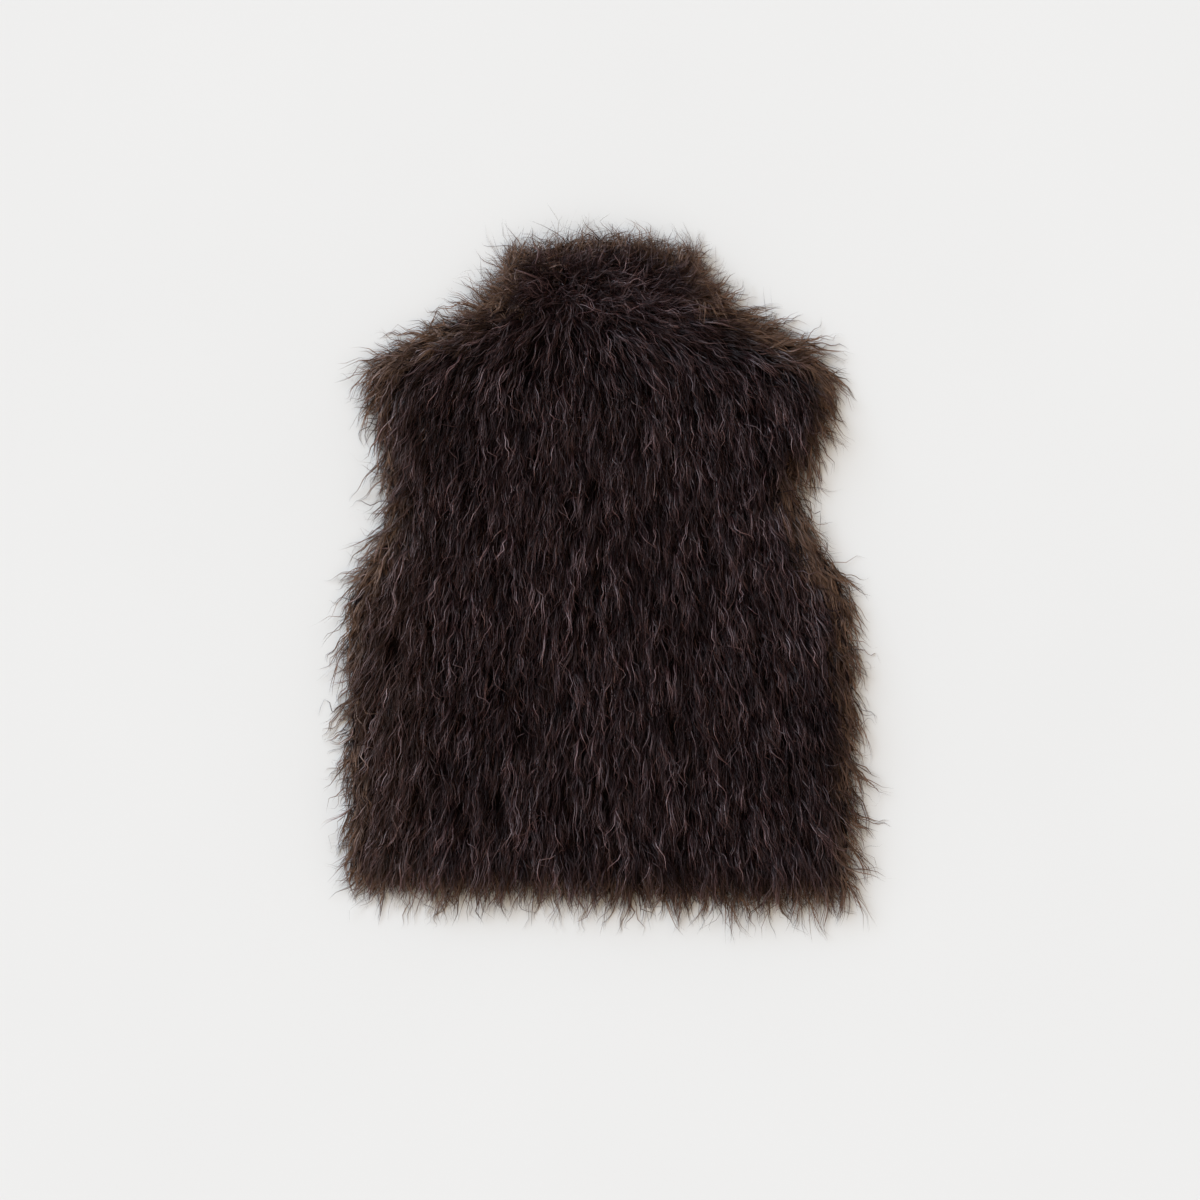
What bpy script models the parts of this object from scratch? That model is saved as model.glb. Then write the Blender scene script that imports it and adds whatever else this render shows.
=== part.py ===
"""A long-pile faux fur vest that lies flat on its fronts, with its back up and its stand collar at +Y.

The vest is four cut pieces: a back, two fronts under it, and a collar strip that wraps round the neck.
Each wall is as thick as its pile. Pile locks are raised on the upper side and reach out past every edge.
"""

import math
from collections import namedtuple

import bmesh
import bpy
import numpy as np

# Driving sizes, in metres. The laid centre is the middle of the whole vest, lock tips and all,
# counted from the zero of the outline tables.
SEAM_GAP = 0.0003
FRONT_THICKNESS = 0.011
EDGE_WALL = 0.002
BACK_LOFT = 0.022
COLLAR_LOFT = 0.004
CROWN = 0.003
UPPER_ROUND = 0.042
UNDER_ROUND = 0.018
CENTRE_FRONT_GAP = 0.001
FRONT_NECK_DROP = 0.048
COLLAR_SIDE_WALL = 0.014
LAID_CENTRE = (0.00187, 0.00532)

# Pile locks, in metres
LOCK_RIDGE = 0.0042
LOCK_VALLEY = 0.0022
LOCK_WANDER = 0.0014
LOCK_ROOT_LIFT = 0.3
LOCK_FADE = 0.020
LEAST_RIDGE = 0.45
MOST_RIDGE = 1.35
LEAST_VALLEY = 0.4
MOST_VALLEY = 1.2
TIP_SWAY = 0.12
NECK_CALM = 0.018

# Which random pattern of locks each piece has
BACK_LOCKS = 11
FRONT_LOCKS = 23
COLLAR_LOCKS = 37

# Linear colours of the dyed pile: the back, the fronts in their own shade, and the redder collar
BACK_COLOUR = (0.0176, 0.0110, 0.0116)
FRONT_COLOUR = (0.0160, 0.0100, 0.0105)
COLLAR_COLOUR = (0.0250, 0.0155, 0.0150)
FUR_ROUGHNESS = 0.75

# Mesh divisions
BACK_COLUMNS = 80
BACK_ROWS = 64
FRONT_COLUMNS = 20
FRONT_ROWS = 44
COLLAR_COLUMNS = 36
COLLAR_FRONT_COLUMNS = 12
COLLAR_ROWS = 8
LOCK_ROWS = 4
CURVE_STEPS = 24
SIDE_STEPS = 80
SHOULDER_STEPS = 60
COLLAR_TOP_STEPS = 30
HEM_STEPS = 60
SHARP_DEGREES = 50

# The laid vest's outline, from hem to collar. Heights are from the middle of its length,
# and left and right are distances from its centre line, seen from above.
EdgeRow = namedtuple("EdgeRow", "height left right")
SIDE_AND_ARMHOLE = [
    EdgeRow(height=-0.298, left=0.232, right=0.233),
    EdgeRow(height=-0.277, left=0.238, right=0.242),
    EdgeRow(height=-0.200, left=0.242, right=0.245),
    EdgeRow(height=-0.100, left=0.242, right=0.246),
    EdgeRow(height=-0.030, left=0.242, right=0.240),
    EdgeRow(height=0.004, left=0.231, right=0.227),
    EdgeRow(height=0.036, left=0.214, right=0.205),
    EdgeRow(height=0.080, left=0.206, right=0.200),
    EdgeRow(height=0.122, left=0.213, right=0.211),
    EdgeRow(height=0.160, left=0.220, right=0.220),
    EdgeRow(height=0.196, left=0.219, right=0.219),
]
SHOULDER = [
    EdgeRow(height=0.196, left=0.219, right=0.219),
    EdgeRow(height=0.217, left=0.205, right=0.206),
    EdgeRow(height=0.236, left=0.168, right=0.172),
    EdgeRow(height=0.252, left=0.138, right=0.145),
    EdgeRow(height=0.266, left=0.116, right=0.122),
]
COLLAR_SIDE = [
    EdgeRow(height=0.266, left=0.116, right=0.122),
    EdgeRow(height=0.284, left=0.104, right=0.106),
    EdgeRow(height=0.304, left=0.086, right=0.092),
]
NECK_DIP = 0.005
HEM_DIP = 0.006
COLLAR_TOP_RISE = 0.022

# How far the lock tips reach past each edge: the shortest, the longest, and the droop towards the hem
TipReach = namedtuple("TipReach", "shortest longest droop")
HEM_TIPS = TipReach(shortest=0.008, longest=0.024, droop=0.0)
SIDE_TIPS = TipReach(shortest=0.004, longest=0.014, droop=0.006)
SHOULDER_TIPS = TipReach(shortest=0.003, longest=0.009, droop=0.0)
COLLAR_TIPS = TipReach(shortest=0.005, longest=0.014, droop=0.0)

LOWER_INNER = FRONT_THICKNESS - SEAM_GAP / 2
UPPER_INNER = FRONT_THICKNESS + SEAM_GAP / 2


def smooth_curve(points, count):
    """Points at even spacing, count + 1 of them, on a smooth curve through the given points."""
    given = np.asarray(points, float)
    before = 2 * given[0] - given[1]
    after = 2 * given[-1] - given[-2]
    knots = np.vstack([before, given, after])
    steps = np.linspace(0, 1, CURVE_STEPS, endpoint=False)[:, None]
    dense = []
    for a, b, c, d in zip(knots, knots[1:], knots[2:], knots[3:]):
        curve = 2 * b + (c - a) * steps
        curve = curve + (2 * a - 5 * b + 4 * c - d) * steps**2
        curve = curve + (3 * b - a - 3 * c + d) * steps**3
        dense.append(curve / 2)
    dense = np.vstack(dense + [given[-1:]])
    run = np.concatenate([[0], np.cumsum(np.linalg.norm(np.diff(dense, axis=0), axis=1))])
    wanted = np.linspace(0, run[-1], count + 1)
    return np.column_stack([np.interp(wanted, run, dense[:, axis]) for axis in (0, 1)])


def edge_of(rows, side):
    """Plan points of one side of a table. side is -1 for the left and +1 for the right."""
    return [(side * (row.left if side < 0 else row.right), row.height) for row in rows]


def bowed(start, end, rise, count):
    """A shallow arc from start to end, raised by rise in its middle."""
    share = np.linspace(0, 1, count + 1)
    points = np.outer(1 - share, start) + np.outer(share, end)
    points[:, 1] += rise * np.sin(math.pi * share)
    return points


def patch(bottom, top, left, right):
    """The plan grid between four edges that meet at their ends, rows from bottom to top."""
    u = np.linspace(0, 1, len(bottom))[None, :, None]
    v = np.linspace(0, 1, len(left))[:, None, None]
    across = (1 - v) * bottom[None] + v * top[None]
    along = (1 - u) * left[:, None] + u * right[:, None]
    corners = (1 - v) * ((1 - u) * bottom[0] + u * bottom[-1]) + v * ((1 - u) * top[0] + u * top[-1])
    return across + along - corners


def distance_to(edge, points):
    """How far each plan point lies from a line of edge points."""
    flat = points.reshape(-1, 2)
    nearest = np.full(len(flat), np.inf)
    for start, end in zip(edge, edge[1:]):
        run = end - start
        share = np.clip(((flat - start) @ run) / (run @ run), 0, 1)
        nearest = np.minimum(nearest, np.linalg.norm(flat - start - share[:, None] * run, axis=1))
    return nearest.reshape(points.shape[:-1])


def rounding(distance, reach):
    """0 at an edge, rising as a quarter circle to 1 at reach from it."""
    inward = np.clip(distance / reach, 0, 1)
    return np.sqrt(1 - (1 - inward) ** 2)


def outer_edge():
    """The free outline of the whole vest in plan, a closed line."""
    left = smooth_curve(edge_of(SIDE_AND_ARMHOLE, -1), SIDE_STEPS)
    right = smooth_curve(edge_of(SIDE_AND_ARMHOLE, 1), SIDE_STEPS)
    upper_left = smooth_curve(edge_of(SHOULDER + COLLAR_SIDE[1:], -1), SHOULDER_STEPS)
    upper_right = smooth_curve(edge_of(SHOULDER + COLLAR_SIDE[1:], 1), SHOULDER_STEPS)
    collar_top = bowed(upper_left[-1], upper_right[-1], COLLAR_TOP_RISE, COLLAR_TOP_STEPS)
    hem = bowed(left[0], right[0], -HEM_DIP, HEM_STEPS)
    return np.vstack([left, upper_left[1:], collar_top[1:], upper_right[-2::-1], right[-2::-1], hem[-2::-1]])


OUTLINE = outer_edge()


def upper_height(points, extra_loft=0.0):
    """Height of the vest's upper side: full pile in the middle, rounding down to every free edge."""
    reach = rounding(distance_to(OUTLINE, points), UPPER_ROUND)
    crown = CROWN * (1 - (points[..., 0] / np.abs(OUTLINE[:, 0]).max()) ** 2)
    return UPPER_INNER + EDGE_WALL + (BACK_LOFT + extra_loft + crown) * reach


def under_height(points):
    """Height of the vest's underside: flat on the surface, rounding up to every free edge."""
    reach = rounding(distance_to(OUTLINE, points), UNDER_ROUND)
    return (LOWER_INNER - EDGE_WALL) * (1 - reach)


def lock_relief(points, rng):
    """Rise and fall of the pile locks on a grid: each column of locks starts at its own height,
    and every lock lifts from its root towards its tip."""
    rows, columns = points.shape[:2]
    fade = np.clip(distance_to(OUTLINE, points) / LOCK_FADE, 0, 1)
    row = np.arange(rows)[::-1, None] + rng.integers(0, 2 * LOCK_ROWS, columns)[None, :]
    on_ridge = (np.arange(columns)[None, :] + row // LOCK_ROWS) % 2 == 0
    lift = LOCK_ROOT_LIFT + (1 - LOCK_ROOT_LIFT) * (row % LOCK_ROWS) / (LOCK_ROWS - 1)
    ridge = LOCK_RIDGE * lift * rng.uniform(LEAST_RIDGE, MOST_RIDGE, (rows, columns))
    valley = -LOCK_VALLEY * rng.uniform(LEAST_VALLEY, MOST_VALLEY, (rows, columns))
    return np.where(on_ridge, ridge, valley) * fade


def wander(points, rng):
    """Moves the inner grid points a little, so that the locks are not in straight lines."""
    moved = points.copy()
    inner = moved[1:-1, 1:-1]
    inner += rng.uniform(-LOCK_WANDER, LOCK_WANDER, inner.shape)
    return moved


def with_tips(line, tips, outward, rng):
    """Pulls an edge line outward into uneven lock tips, with notches between them. The tips are shorter
    where the shoulder meets the collar."""
    neck_points = np.array([edge_of(SHOULDER, side)[-1] for side in (-1, 1)])
    pulled = line.copy()
    for i in range(1, len(line) - 1):
        along = line[i + 1] - line[i - 1]
        normal = np.array([along[1], -along[0]]) / np.linalg.norm(along) * outward
        calm = min(1, np.linalg.norm(neck_points - line[i], axis=1).min() / NECK_CALM)
        if i % 2 == 0:
            pulled[i] += normal * rng.uniform(0, tips.shortest) * calm
            continue
        pulled[i] += normal * rng.uniform(tips.shortest, tips.longest) * calm
        pulled[i] += along * rng.uniform(-TIP_SWAY, TIP_SWAY)
        pulled[i][1] -= tips.droop * calm
    return pulled


class Wall:
    """A closed mesh that grows from point grids, one vertex for each grid point."""

    def __init__(self):
        self.mesh = bmesh.new()

    def grid(self, plan, height):
        """Adds a grid of vertices, rows by columns, counted from the laid centre."""
        laid = plan - np.array(LAID_CENTRE)
        return [
            [self.mesh.verts.new((x, y, z)) for (x, y), z in zip(line, heights)]
            for line, heights in zip(laid, height)
        ]

    def skin(self, grid, facing_up):
        """Quads over a grid, facing up or down."""
        for low, high in zip(grid, grid[1:]):
            for a, b, c, d in zip(low, low[1:], high[1:], high):
                self.mesh.faces.new((a, b, c, d) if facing_up else (d, c, b, a))

    def band(self, first, second):
        """Quads between two lines of vertices with as many points each."""
        for a, b, c, d in zip(first, first[1:], second[1:], second):
            self.mesh.faces.new((a, b, c, d))

    def cap(self, line):
        """One flat face over a closed line of vertices."""
        self.mesh.faces.new(line)

    def finish(self, name, material):
        """Turns the faces outward and links the finished object."""
        bmesh.ops.recalc_face_normals(self.mesh, faces=self.mesh.faces[:])
        data = bpy.data.meshes.new(name)
        self.mesh.to_mesh(data)
        self.mesh.free()
        data.materials.append(material)
        data.shade_smooth()
        data.set_sharp_from_angle(angle=math.radians(SHARP_DEGREES))
        piece = bpy.data.objects.new(name, data)
        VEST.objects.link(piece)
        return piece


def rim_of(grid):
    """The vertices round a grid's border, in order, with none twice."""
    bottom = grid[0][:-1]
    right = [row[-1] for row in grid[:-1]]
    top = grid[-1][:0:-1]
    left = [row[0] for row in grid[:0:-1]]
    return bottom + right + top + left


def fur(name, colour):
    """A matte pile of dyed fibre."""
    material = bpy.data.materials.new(name)
    material.use_nodes = True
    shader = material.node_tree.nodes["Principled BSDF"]
    shader.inputs["Base Color"].default_value = (*colour, 1.0)
    shader.inputs["Roughness"].default_value = FUR_ROUGHNESS
    shader.inputs["Metallic"].default_value = 0.0
    material.diffuse_color = (*colour, 1.0)
    return material


def slab(name, plan, outer_height, inner_height, material):
    """A wall between a shaped outer side and a flat inner side."""
    wall = Wall()
    outer = wall.grid(plan, outer_height)
    wall.skin(outer, facing_up=True)
    border = rim_of(outer)
    inner = [wall.mesh.verts.new((vert.co.x, vert.co.y, inner_height)) for vert in border]
    wall.band(border + border[:1], inner + inner[:1])
    wall.cap(inner)
    return wall.finish(name, material)


def make_back():
    """The back: hem, two sides with their armholes, two shoulders and the back neck."""
    rng = np.random.default_rng(BACK_LOCKS)
    columns = BACK_COLUMNS
    left = smooth_curve(edge_of(SIDE_AND_ARMHOLE, -1), BACK_ROWS)
    right = smooth_curve(edge_of(SIDE_AND_ARMHOLE, 1), BACK_ROWS)
    hem = bowed(left[0], right[0], -HEM_DIP, columns)
    shoulder_columns = columns // 4
    left_shoulder = smooth_curve(edge_of(SHOULDER, -1), shoulder_columns)
    right_shoulder = smooth_curve(edge_of(SHOULDER, 1), shoulder_columns)[::-1]
    neck = bowed(left_shoulder[-1], right_shoulder[0], -NECK_DIP, columns - 2 * shoulder_columns)
    top = np.vstack([left_shoulder, neck[1:-1], right_shoulder])
    plan = wander(patch(hem, top, left, right), rng)
    height = upper_height(plan) + lock_relief(plan, rng)
    plan[0] = with_tips(hem, HEM_TIPS, 1, rng)
    plan[:, 0] = with_tips(left, SIDE_TIPS, -1, rng)
    plan[:, -1] = with_tips(right, SIDE_TIPS, 1, rng)
    plan[-1, : shoulder_columns + 1] = with_tips(left_shoulder, SHOULDER_TIPS, -1, rng)
    plan[-1, -shoulder_columns - 1 :] = with_tips(right_shoulder, SHOULDER_TIPS, -1, rng)
    slab("back_panel", plan, height, UPPER_INNER, fur("long_pile_fur", BACK_COLOUR))


def front_neck(side, gap, count):
    """A quarter ellipse from the centre front to the neck point, where a front meets the collar."""
    neck_point = edge_of(SHOULDER, side)[-1]
    reach = abs(neck_point[0]) - gap
    drop = FRONT_NECK_DROP - gap
    angle = np.linspace(0, math.pi / 2, count + 1)
    start = CENTRE_FRONT_GAP / 2
    x = side * (start + (reach - start) * np.sin(angle))
    y = neck_point[1] - drop * np.cos(angle)
    return np.column_stack([x, y])


def make_front(name, side):
    """One front: it lies under the back with its fur down and meets the other at the centre front."""
    rng = np.random.default_rng(FRONT_LOCKS + side)
    outer = smooth_curve(edge_of(SIDE_AND_ARMHOLE, side), FRONT_ROWS)
    start = (side * CENTRE_FRONT_GAP / 2, outer[0][1] - HEM_DIP)
    share = np.linspace(0, 1, FRONT_COLUMNS + 1)
    hem = np.outer(1 - share, start) + np.outer(share, outer[0])
    hem[:, 1] = outer[0][1] - HEM_DIP * np.cos(share * math.pi / 2)
    half = FRONT_COLUMNS // 2
    neck = front_neck(side, 0, half)
    shoulder = smooth_curve(edge_of(SHOULDER, side), half)[::-1]
    top = np.vstack([neck, shoulder[1:]])
    centre = bowed(hem[0], (hem[0][0], top[0][1]), 0.0, FRONT_ROWS)
    plan = patch(hem, top, centre, outer)
    height = under_height(plan)
    plan[0] = with_tips(hem, HEM_TIPS, side, rng)
    plan[:, -1] = with_tips(outer, SIDE_TIPS, side, rng)
    plan[-1, half:] = with_tips(shoulder, SHOULDER_TIPS, -side, rng)
    slab(name, plan, height, LOWER_INNER, fur(name + "_fur", FRONT_COLOUR))


def make_collar():
    """The collar strip: its middle lies on top, it folds round both sides of the neck, and its ends meet
    below."""
    rng = np.random.default_rng(COLLAR_LOCKS)
    rows = COLLAR_ROWS
    sides = {side: smooth_curve(edge_of(COLLAR_SIDE, side), rows) for side in (-1, 1)}
    for side, line in sides.items():
        line[0] = (line[0][0] - side * SEAM_GAP, line[0][1] + SEAM_GAP)
    seam = bowed(sides[-1][0], sides[1][0], -NECK_DIP, COLLAR_COLUMNS)
    crest = bowed(sides[-1][-1], sides[1][-1], COLLAR_TOP_RISE, COLLAR_COLUMNS)
    middle = patch(seam, crest, sides[-1], sides[1])
    ends = {}
    for side in (-1, 1):
        low = front_neck(side, SEAM_GAP, COLLAR_FRONT_COLUMNS)
        low[-1] = sides[side][0]
        high_point = (low[0][0], crest[COLLAR_COLUMNS // 2][1] - FRONT_NECK_DROP)
        high = bowed(high_point, sides[side][-1], 0.0, COLLAR_FRONT_COLUMNS)
        centre = bowed(low[0], high[0], 0.0, rows)
        ends[side] = patch(low, high, centre, sides[side])
    middle_height = upper_height(middle, COLLAR_LOFT) + lock_relief(middle, rng)
    plan = np.concatenate([ends[-1][:, :-1], middle, ends[1][:, -2::-1]], axis=1)
    end_height = {side: under_height(ends[side]) for side in (-1, 1)}
    height = np.concatenate([end_height[-1][:, :-1], middle_height, end_height[1][:, -2::-1]], axis=1)
    left_fold = COLLAR_FRONT_COLUMNS
    right_fold = left_fold + COLLAR_COLUMNS
    height[:, left_fold] = FRONT_THICKNESS
    height[:, right_fold] = FRONT_THICKNESS
    inner_plan = plan.copy()
    half_width = np.abs(plan[:, [left_fold, right_fold], 0]).mean(axis=1)
    inner_plan[..., 0] *= ((half_width - COLLAR_SIDE_WALL) / half_width)[:, None]
    inner_height = np.full(plan.shape[:2], LOWER_INNER)
    inner_height[:, left_fold + 1 : right_fold] = UPPER_INNER
    inner_height[:, [left_fold, right_fold]] = FRONT_THICKNESS
    plan[:, left_fold] = with_tips(plan[:, left_fold], COLLAR_TIPS, -1, rng)
    plan[:, right_fold] = with_tips(plan[:, right_fold], COLLAR_TIPS, 1, rng)
    crest_part = slice(left_fold, right_fold + 1)
    plan[-1, crest_part] = with_tips(plan[-1, crest_part], COLLAR_TIPS, -1, rng)
    wall = Wall()
    outer = wall.grid(plan, height)
    inner = wall.grid(inner_plan, inner_height)
    wall.skin(outer, facing_up=True)
    wall.skin(inner, facing_up=False)
    outer_rim = rim_of(outer)
    inner_rim = rim_of(inner)
    wall.band(outer_rim + outer_rim[:1], inner_rim + inner_rim[:1])
    wall.finish("collar", fur("collar_fur", COLLAR_COLOUR))


for left_over in list(bpy.data.objects):
    bpy.data.objects.remove(left_over, do_unlink=True)
VEST = bpy.data.collections.new("faux_fur_vest")
bpy.context.scene.collection.children.link(VEST)
make_back()
make_front("front_left", -1)
make_front("front_right", 1)
make_collar()
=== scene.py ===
"""Looks of a long-pile faux fur vest that lies flat on its fronts, with its back up and its collar at +Y."""
import math

import bpy
import numpy as np
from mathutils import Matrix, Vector


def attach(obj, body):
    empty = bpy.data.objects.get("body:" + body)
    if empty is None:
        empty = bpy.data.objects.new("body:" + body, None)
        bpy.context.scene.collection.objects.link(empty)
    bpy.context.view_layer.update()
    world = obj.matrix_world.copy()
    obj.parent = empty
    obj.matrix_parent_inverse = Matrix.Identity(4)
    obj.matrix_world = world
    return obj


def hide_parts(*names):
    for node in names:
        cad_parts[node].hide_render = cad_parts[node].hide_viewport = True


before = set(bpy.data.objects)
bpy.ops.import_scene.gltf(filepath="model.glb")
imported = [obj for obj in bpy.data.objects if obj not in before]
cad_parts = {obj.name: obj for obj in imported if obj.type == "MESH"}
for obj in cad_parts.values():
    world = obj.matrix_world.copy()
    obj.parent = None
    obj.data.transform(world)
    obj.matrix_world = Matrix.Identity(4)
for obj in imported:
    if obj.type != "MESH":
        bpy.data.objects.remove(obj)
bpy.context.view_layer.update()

# The vest lies on a pale table and is seen from straight above, with the collar at the top.
# A long lens high over the middle of the picture keeps the view free of perspective.
METRES_PER_PIXEL = 0.00095
PICTURE_PIXELS = 1200
VEST_ZERO_PIXEL = (601, 578)
LAID_CENTRE = (0.00187, 0.00532)
CAMERA_HEIGHT = 3.0
FOCUS_HEIGHT = 0.03
SENSOR_MM = 36.0

camera_data = bpy.data.cameras.new("overhead_camera")
camera_data.sensor_width = SENSOR_MM
camera_data.lens = SENSOR_MM * (CAMERA_HEIGHT - FOCUS_HEIGHT) / (PICTURE_PIXELS * METRES_PER_PIXEL)
camera = bpy.data.objects.new("overhead_camera", camera_data)
bpy.context.scene.collection.objects.link(camera)
camera.location = (
    (PICTURE_PIXELS / 2 - VEST_ZERO_PIXEL[0]) * METRES_PER_PIXEL - LAID_CENTRE[0],
    (VEST_ZERO_PIXEL[1] - PICTURE_PIXELS / 2) * METRES_PER_PIXEL - LAID_CENTRE[1],
    CAMERA_HEIGHT,
)
bpy.context.scene.camera = camera

# The studio is a plain pale table with a broad lamp up and to the left, between white walls under a warm
# ceiling. The vest's shadow is soft and a little warm, and falls to the right and below.
TABLE_SIZE = 40.0
TABLE_HEX = "#d7d7d7"
TABLE_MOTTLE_HEX = "#d4d4d4"
TABLE_MOTTLE_SCALE = 3.0
LAMP_FROM = (-0.86, 0.66, 1.0)
LAMP_STRENGTH = 3.50
LAMP_HEX = "#d6ebff"
LAMP_SPREAD_DEGREES = 56.0
WALL_HEX = "#eeeeee"
CEILING_HEX = "#dcb67a"
WALL_TOP = 0.55
CEILING_START = 0.85


def linear(hex_colour):
    """An sRGB hex colour as linear red, green, blue and alpha."""
    channels = [int(hex_colour[i : i + 2], 16) / 255 for i in (1, 3, 5)]
    return (*[c / 12.92 if c <= 0.04045 else ((c + 0.055) / 1.055) ** 2.4 for c in channels], 1.0)


def add_node(tree, kind, settings=None, values=None, links=None):
    """Adds a shader node with its settings, its fixed inputs, and links from other nodes' outputs."""
    node = tree.nodes.new(kind)
    for name, value in (settings or {}).items():
        setattr(node, name, value)
    for name, value in (values or {}).items():
        node.inputs[name].default_value = value
    for name, output in (links or {}).items():
        tree.links.new(output, node.inputs[name])
    return node


def colour_ramp(tree, source, stops):
    """The colour that a ramp gives another node's output. Each stop is a position and a linear colour."""
    ramp = add_node(tree, "ShaderNodeValToRGB", links={"Fac": source})
    elements = ramp.color_ramp.elements
    elements.remove(elements[-1])
    elements[0].position, elements[0].color = stops[0]
    for position, colour in stops[1:]:
        elements.new(position).color = colour
    return ramp.outputs["Color"]


def mixed(tree, share, first, second):
    """The colour that a share between 0 and 1 gives between two fixed colours."""
    mix = add_node(tree, "ShaderNodeMix", {"data_type": "RGBA"}, {"A": first, "B": second}, {"Factor": share})
    return mix.outputs["Result"]


def new_material(name):
    """An empty node material and its tree."""
    material = bpy.data.materials.new(name)
    material.use_nodes = True
    material.node_tree.nodes.clear()
    return material, material.node_tree


def painted_board():
    """Matte painted board: an even pale grey with a very faint mottle and hardly any shine."""
    material, tree = new_material("painted_board")
    place = add_node(tree, "ShaderNodeTexCoord").outputs["Object"]
    scale = {"Scale": TABLE_MOTTLE_SCALE}
    mottle = add_node(tree, "ShaderNodeTexNoise", values=scale, links={"Vector": place})
    tint = mixed(tree, mottle.outputs["Fac"], linear(TABLE_HEX), linear(TABLE_MOTTLE_HEX))
    shader = add_node(
        tree,
        "ShaderNodeBsdfPrincipled",
        values={"Roughness": 0.9, "Specular IOR Level": 0.1},
        links={"Base Color": tint},
    )
    add_node(tree, "ShaderNodeOutputMaterial", links={"Surface": shader.outputs["BSDF"]})
    return material


half_table = TABLE_SIZE / 2
table_mesh = bpy.data.meshes.new("table")
table_corners = [(x * half_table, y * half_table, 0) for x, y in [(-1, -1), (1, -1), (1, 1), (-1, 1)]]
table_mesh.from_pydata(table_corners, [], [(0, 1, 2, 3)])
table_mesh.materials.append(painted_board())
table = bpy.data.objects.new("table", table_mesh)
bpy.context.scene.collection.objects.link(table)

lamp_data = bpy.data.lights.new("broad_lamp", "SUN")
lamp_data.energy = LAMP_STRENGTH
lamp_data.color = linear(LAMP_HEX)[:3]
lamp_data.angle = math.radians(LAMP_SPREAD_DEGREES)
lamp = bpy.data.objects.new("broad_lamp", lamp_data)
lamp.rotation_euler = Vector(LAMP_FROM).to_track_quat("Z", "Y").to_euler()
bpy.context.scene.collection.objects.link(lamp)

room = bpy.data.worlds.new("studio_room")
room.use_nodes = True
way = add_node(room.node_tree, "ShaderNodeTexCoord").outputs["Generated"]
height_in_room = add_node(room.node_tree, "ShaderNodeSeparateXYZ", links={"Vector": way}).outputs["Z"]
wall_and_ceiling = [(WALL_TOP, linear(WALL_HEX)), (CEILING_START, linear(CEILING_HEX))]
room_colour = colour_ramp(room.node_tree, height_in_room, wall_and_ceiling)
room.node_tree.links.new(room_colour, room.node_tree.nodes["Background"].inputs["Color"])
bpy.context.scene.world = room
bpy.context.scene.view_settings.view_transform = "Standard"

# The ground cloth is a warp-knitted polyester, dyed dark brown and darkened with painted shade, which holds
# the pile by its roots.
# The back is one cut piece. It lies over the fronts, and drops a little to meet them at its side seams.
GROUND_THICKNESS = 0.0024
BACK_GROUND_HEIGHT = 0.0132
BACK_EDGE_DROP = 0.0026
EDGE_DROP_REACH = 0.035
KNIT_WALE = 0.0011
KNIT_RELIEF = 0.0004
# Dark brown dye with painted shade: both knit colours are near black, for the shade deep under the pile
KNIT_DARK_HEX = "#0b0505"
KNIT_LIGHT_HEX = "#1a0f0d"
SHARP_EDGE_DEGREES = 50.0
CUT_ROWS = 44
CUT_COLUMNS = 40
CURVE_STEPS = 24
BANDS_A_METRE_AT_SCALE_1 = 20 / (2 * math.pi)

# Cut edges of the body: heights from the middle of the vest's length, and half widths to each side
BODY_SIDE = [
    {"height": -0.287, "left": 0.231, "right": 0.234},
    {"height": -0.200, "left": 0.237, "right": 0.236},
    {"height": -0.100, "left": 0.237, "right": 0.237},
    {"height": -0.030, "left": 0.236, "right": 0.233},
    {"height": 0.004, "left": 0.224, "right": 0.222},
    {"height": 0.036, "left": 0.207, "right": 0.200},
    {"height": 0.075, "left": 0.199, "right": 0.186},
    {"height": 0.100, "left": 0.201, "right": 0.181},
    {"height": 0.126, "left": 0.206, "right": 0.202},
    {"height": 0.164, "left": 0.213, "right": 0.214},
    {"height": 0.199, "left": 0.215, "right": 0.213},
]
BODY_SHOULDER = [
    {"height": 0.199, "left": 0.215, "right": 0.213},
    {"height": 0.217, "left": 0.195, "right": 0.194},
    {"height": 0.235, "left": 0.156, "right": 0.156},
    {"height": 0.262, "left": 0.102, "right": 0.106},
]
NECK_DIP = 0.005
HEM_DIP = 0.003
HEM_LEAN = 0.008
LEFT_HEM_LEAN_SHARE = 0.7
HEM_LEAN_POWER = 6

# Soft creases that the cloth keeps from being folded, with the way that each runs in degrees
CREASE_FADE = 0.020
CREASES = [
    {"x": -0.110, "y": -0.150, "turn": 80, "length": 0.150, "width": 0.022, "height": 0.0013},
    {"x": 0.085, "y": -0.090, "turn": 97, "length": 0.210, "width": 0.028, "height": -0.0012},
    {"x": 0.020, "y": 0.110, "turn": 12, "length": 0.240, "width": 0.026, "height": 0.0010},
    {"x": -0.150, "y": 0.060, "turn": 55, "length": 0.090, "width": 0.018, "height": 0.0014},
    {"x": 0.160, "y": -0.210, "turn": 70, "length": 0.100, "width": 0.020, "height": 0.0012},
    {"x": 0.130, "y": 0.150, "turn": 128, "length": 0.080, "width": 0.018, "height": 0.0011},
]


def smooth_line(points, count):
    """count + 1 evenly spaced points on a smooth curve through the given points."""
    given = np.asarray(points, float)
    knots = np.vstack([2 * given[0] - given[1], given, 2 * given[-1] - given[-2]])
    t = np.linspace(0, 1, CURVE_STEPS, endpoint=False)[:, None]
    pieces = []
    for a, b, c, d in zip(knots, knots[1:], knots[2:], knots[3:]):
        curve = 2 * b + (c - a) * t + (2 * a - 5 * b + 4 * c - d) * t**2 + (3 * b - a - 3 * c + d) * t**3
        pieces.append(curve / 2)
    dense = np.vstack(pieces + [given[-1:]])
    run = np.concatenate([[0], np.cumsum(np.linalg.norm(np.diff(dense, axis=0), axis=1))])
    wanted = np.linspace(0, run[-1], count + 1)
    return np.column_stack([np.interp(wanted, run, dense[:, axis]) for axis in (0, 1)])


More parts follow.
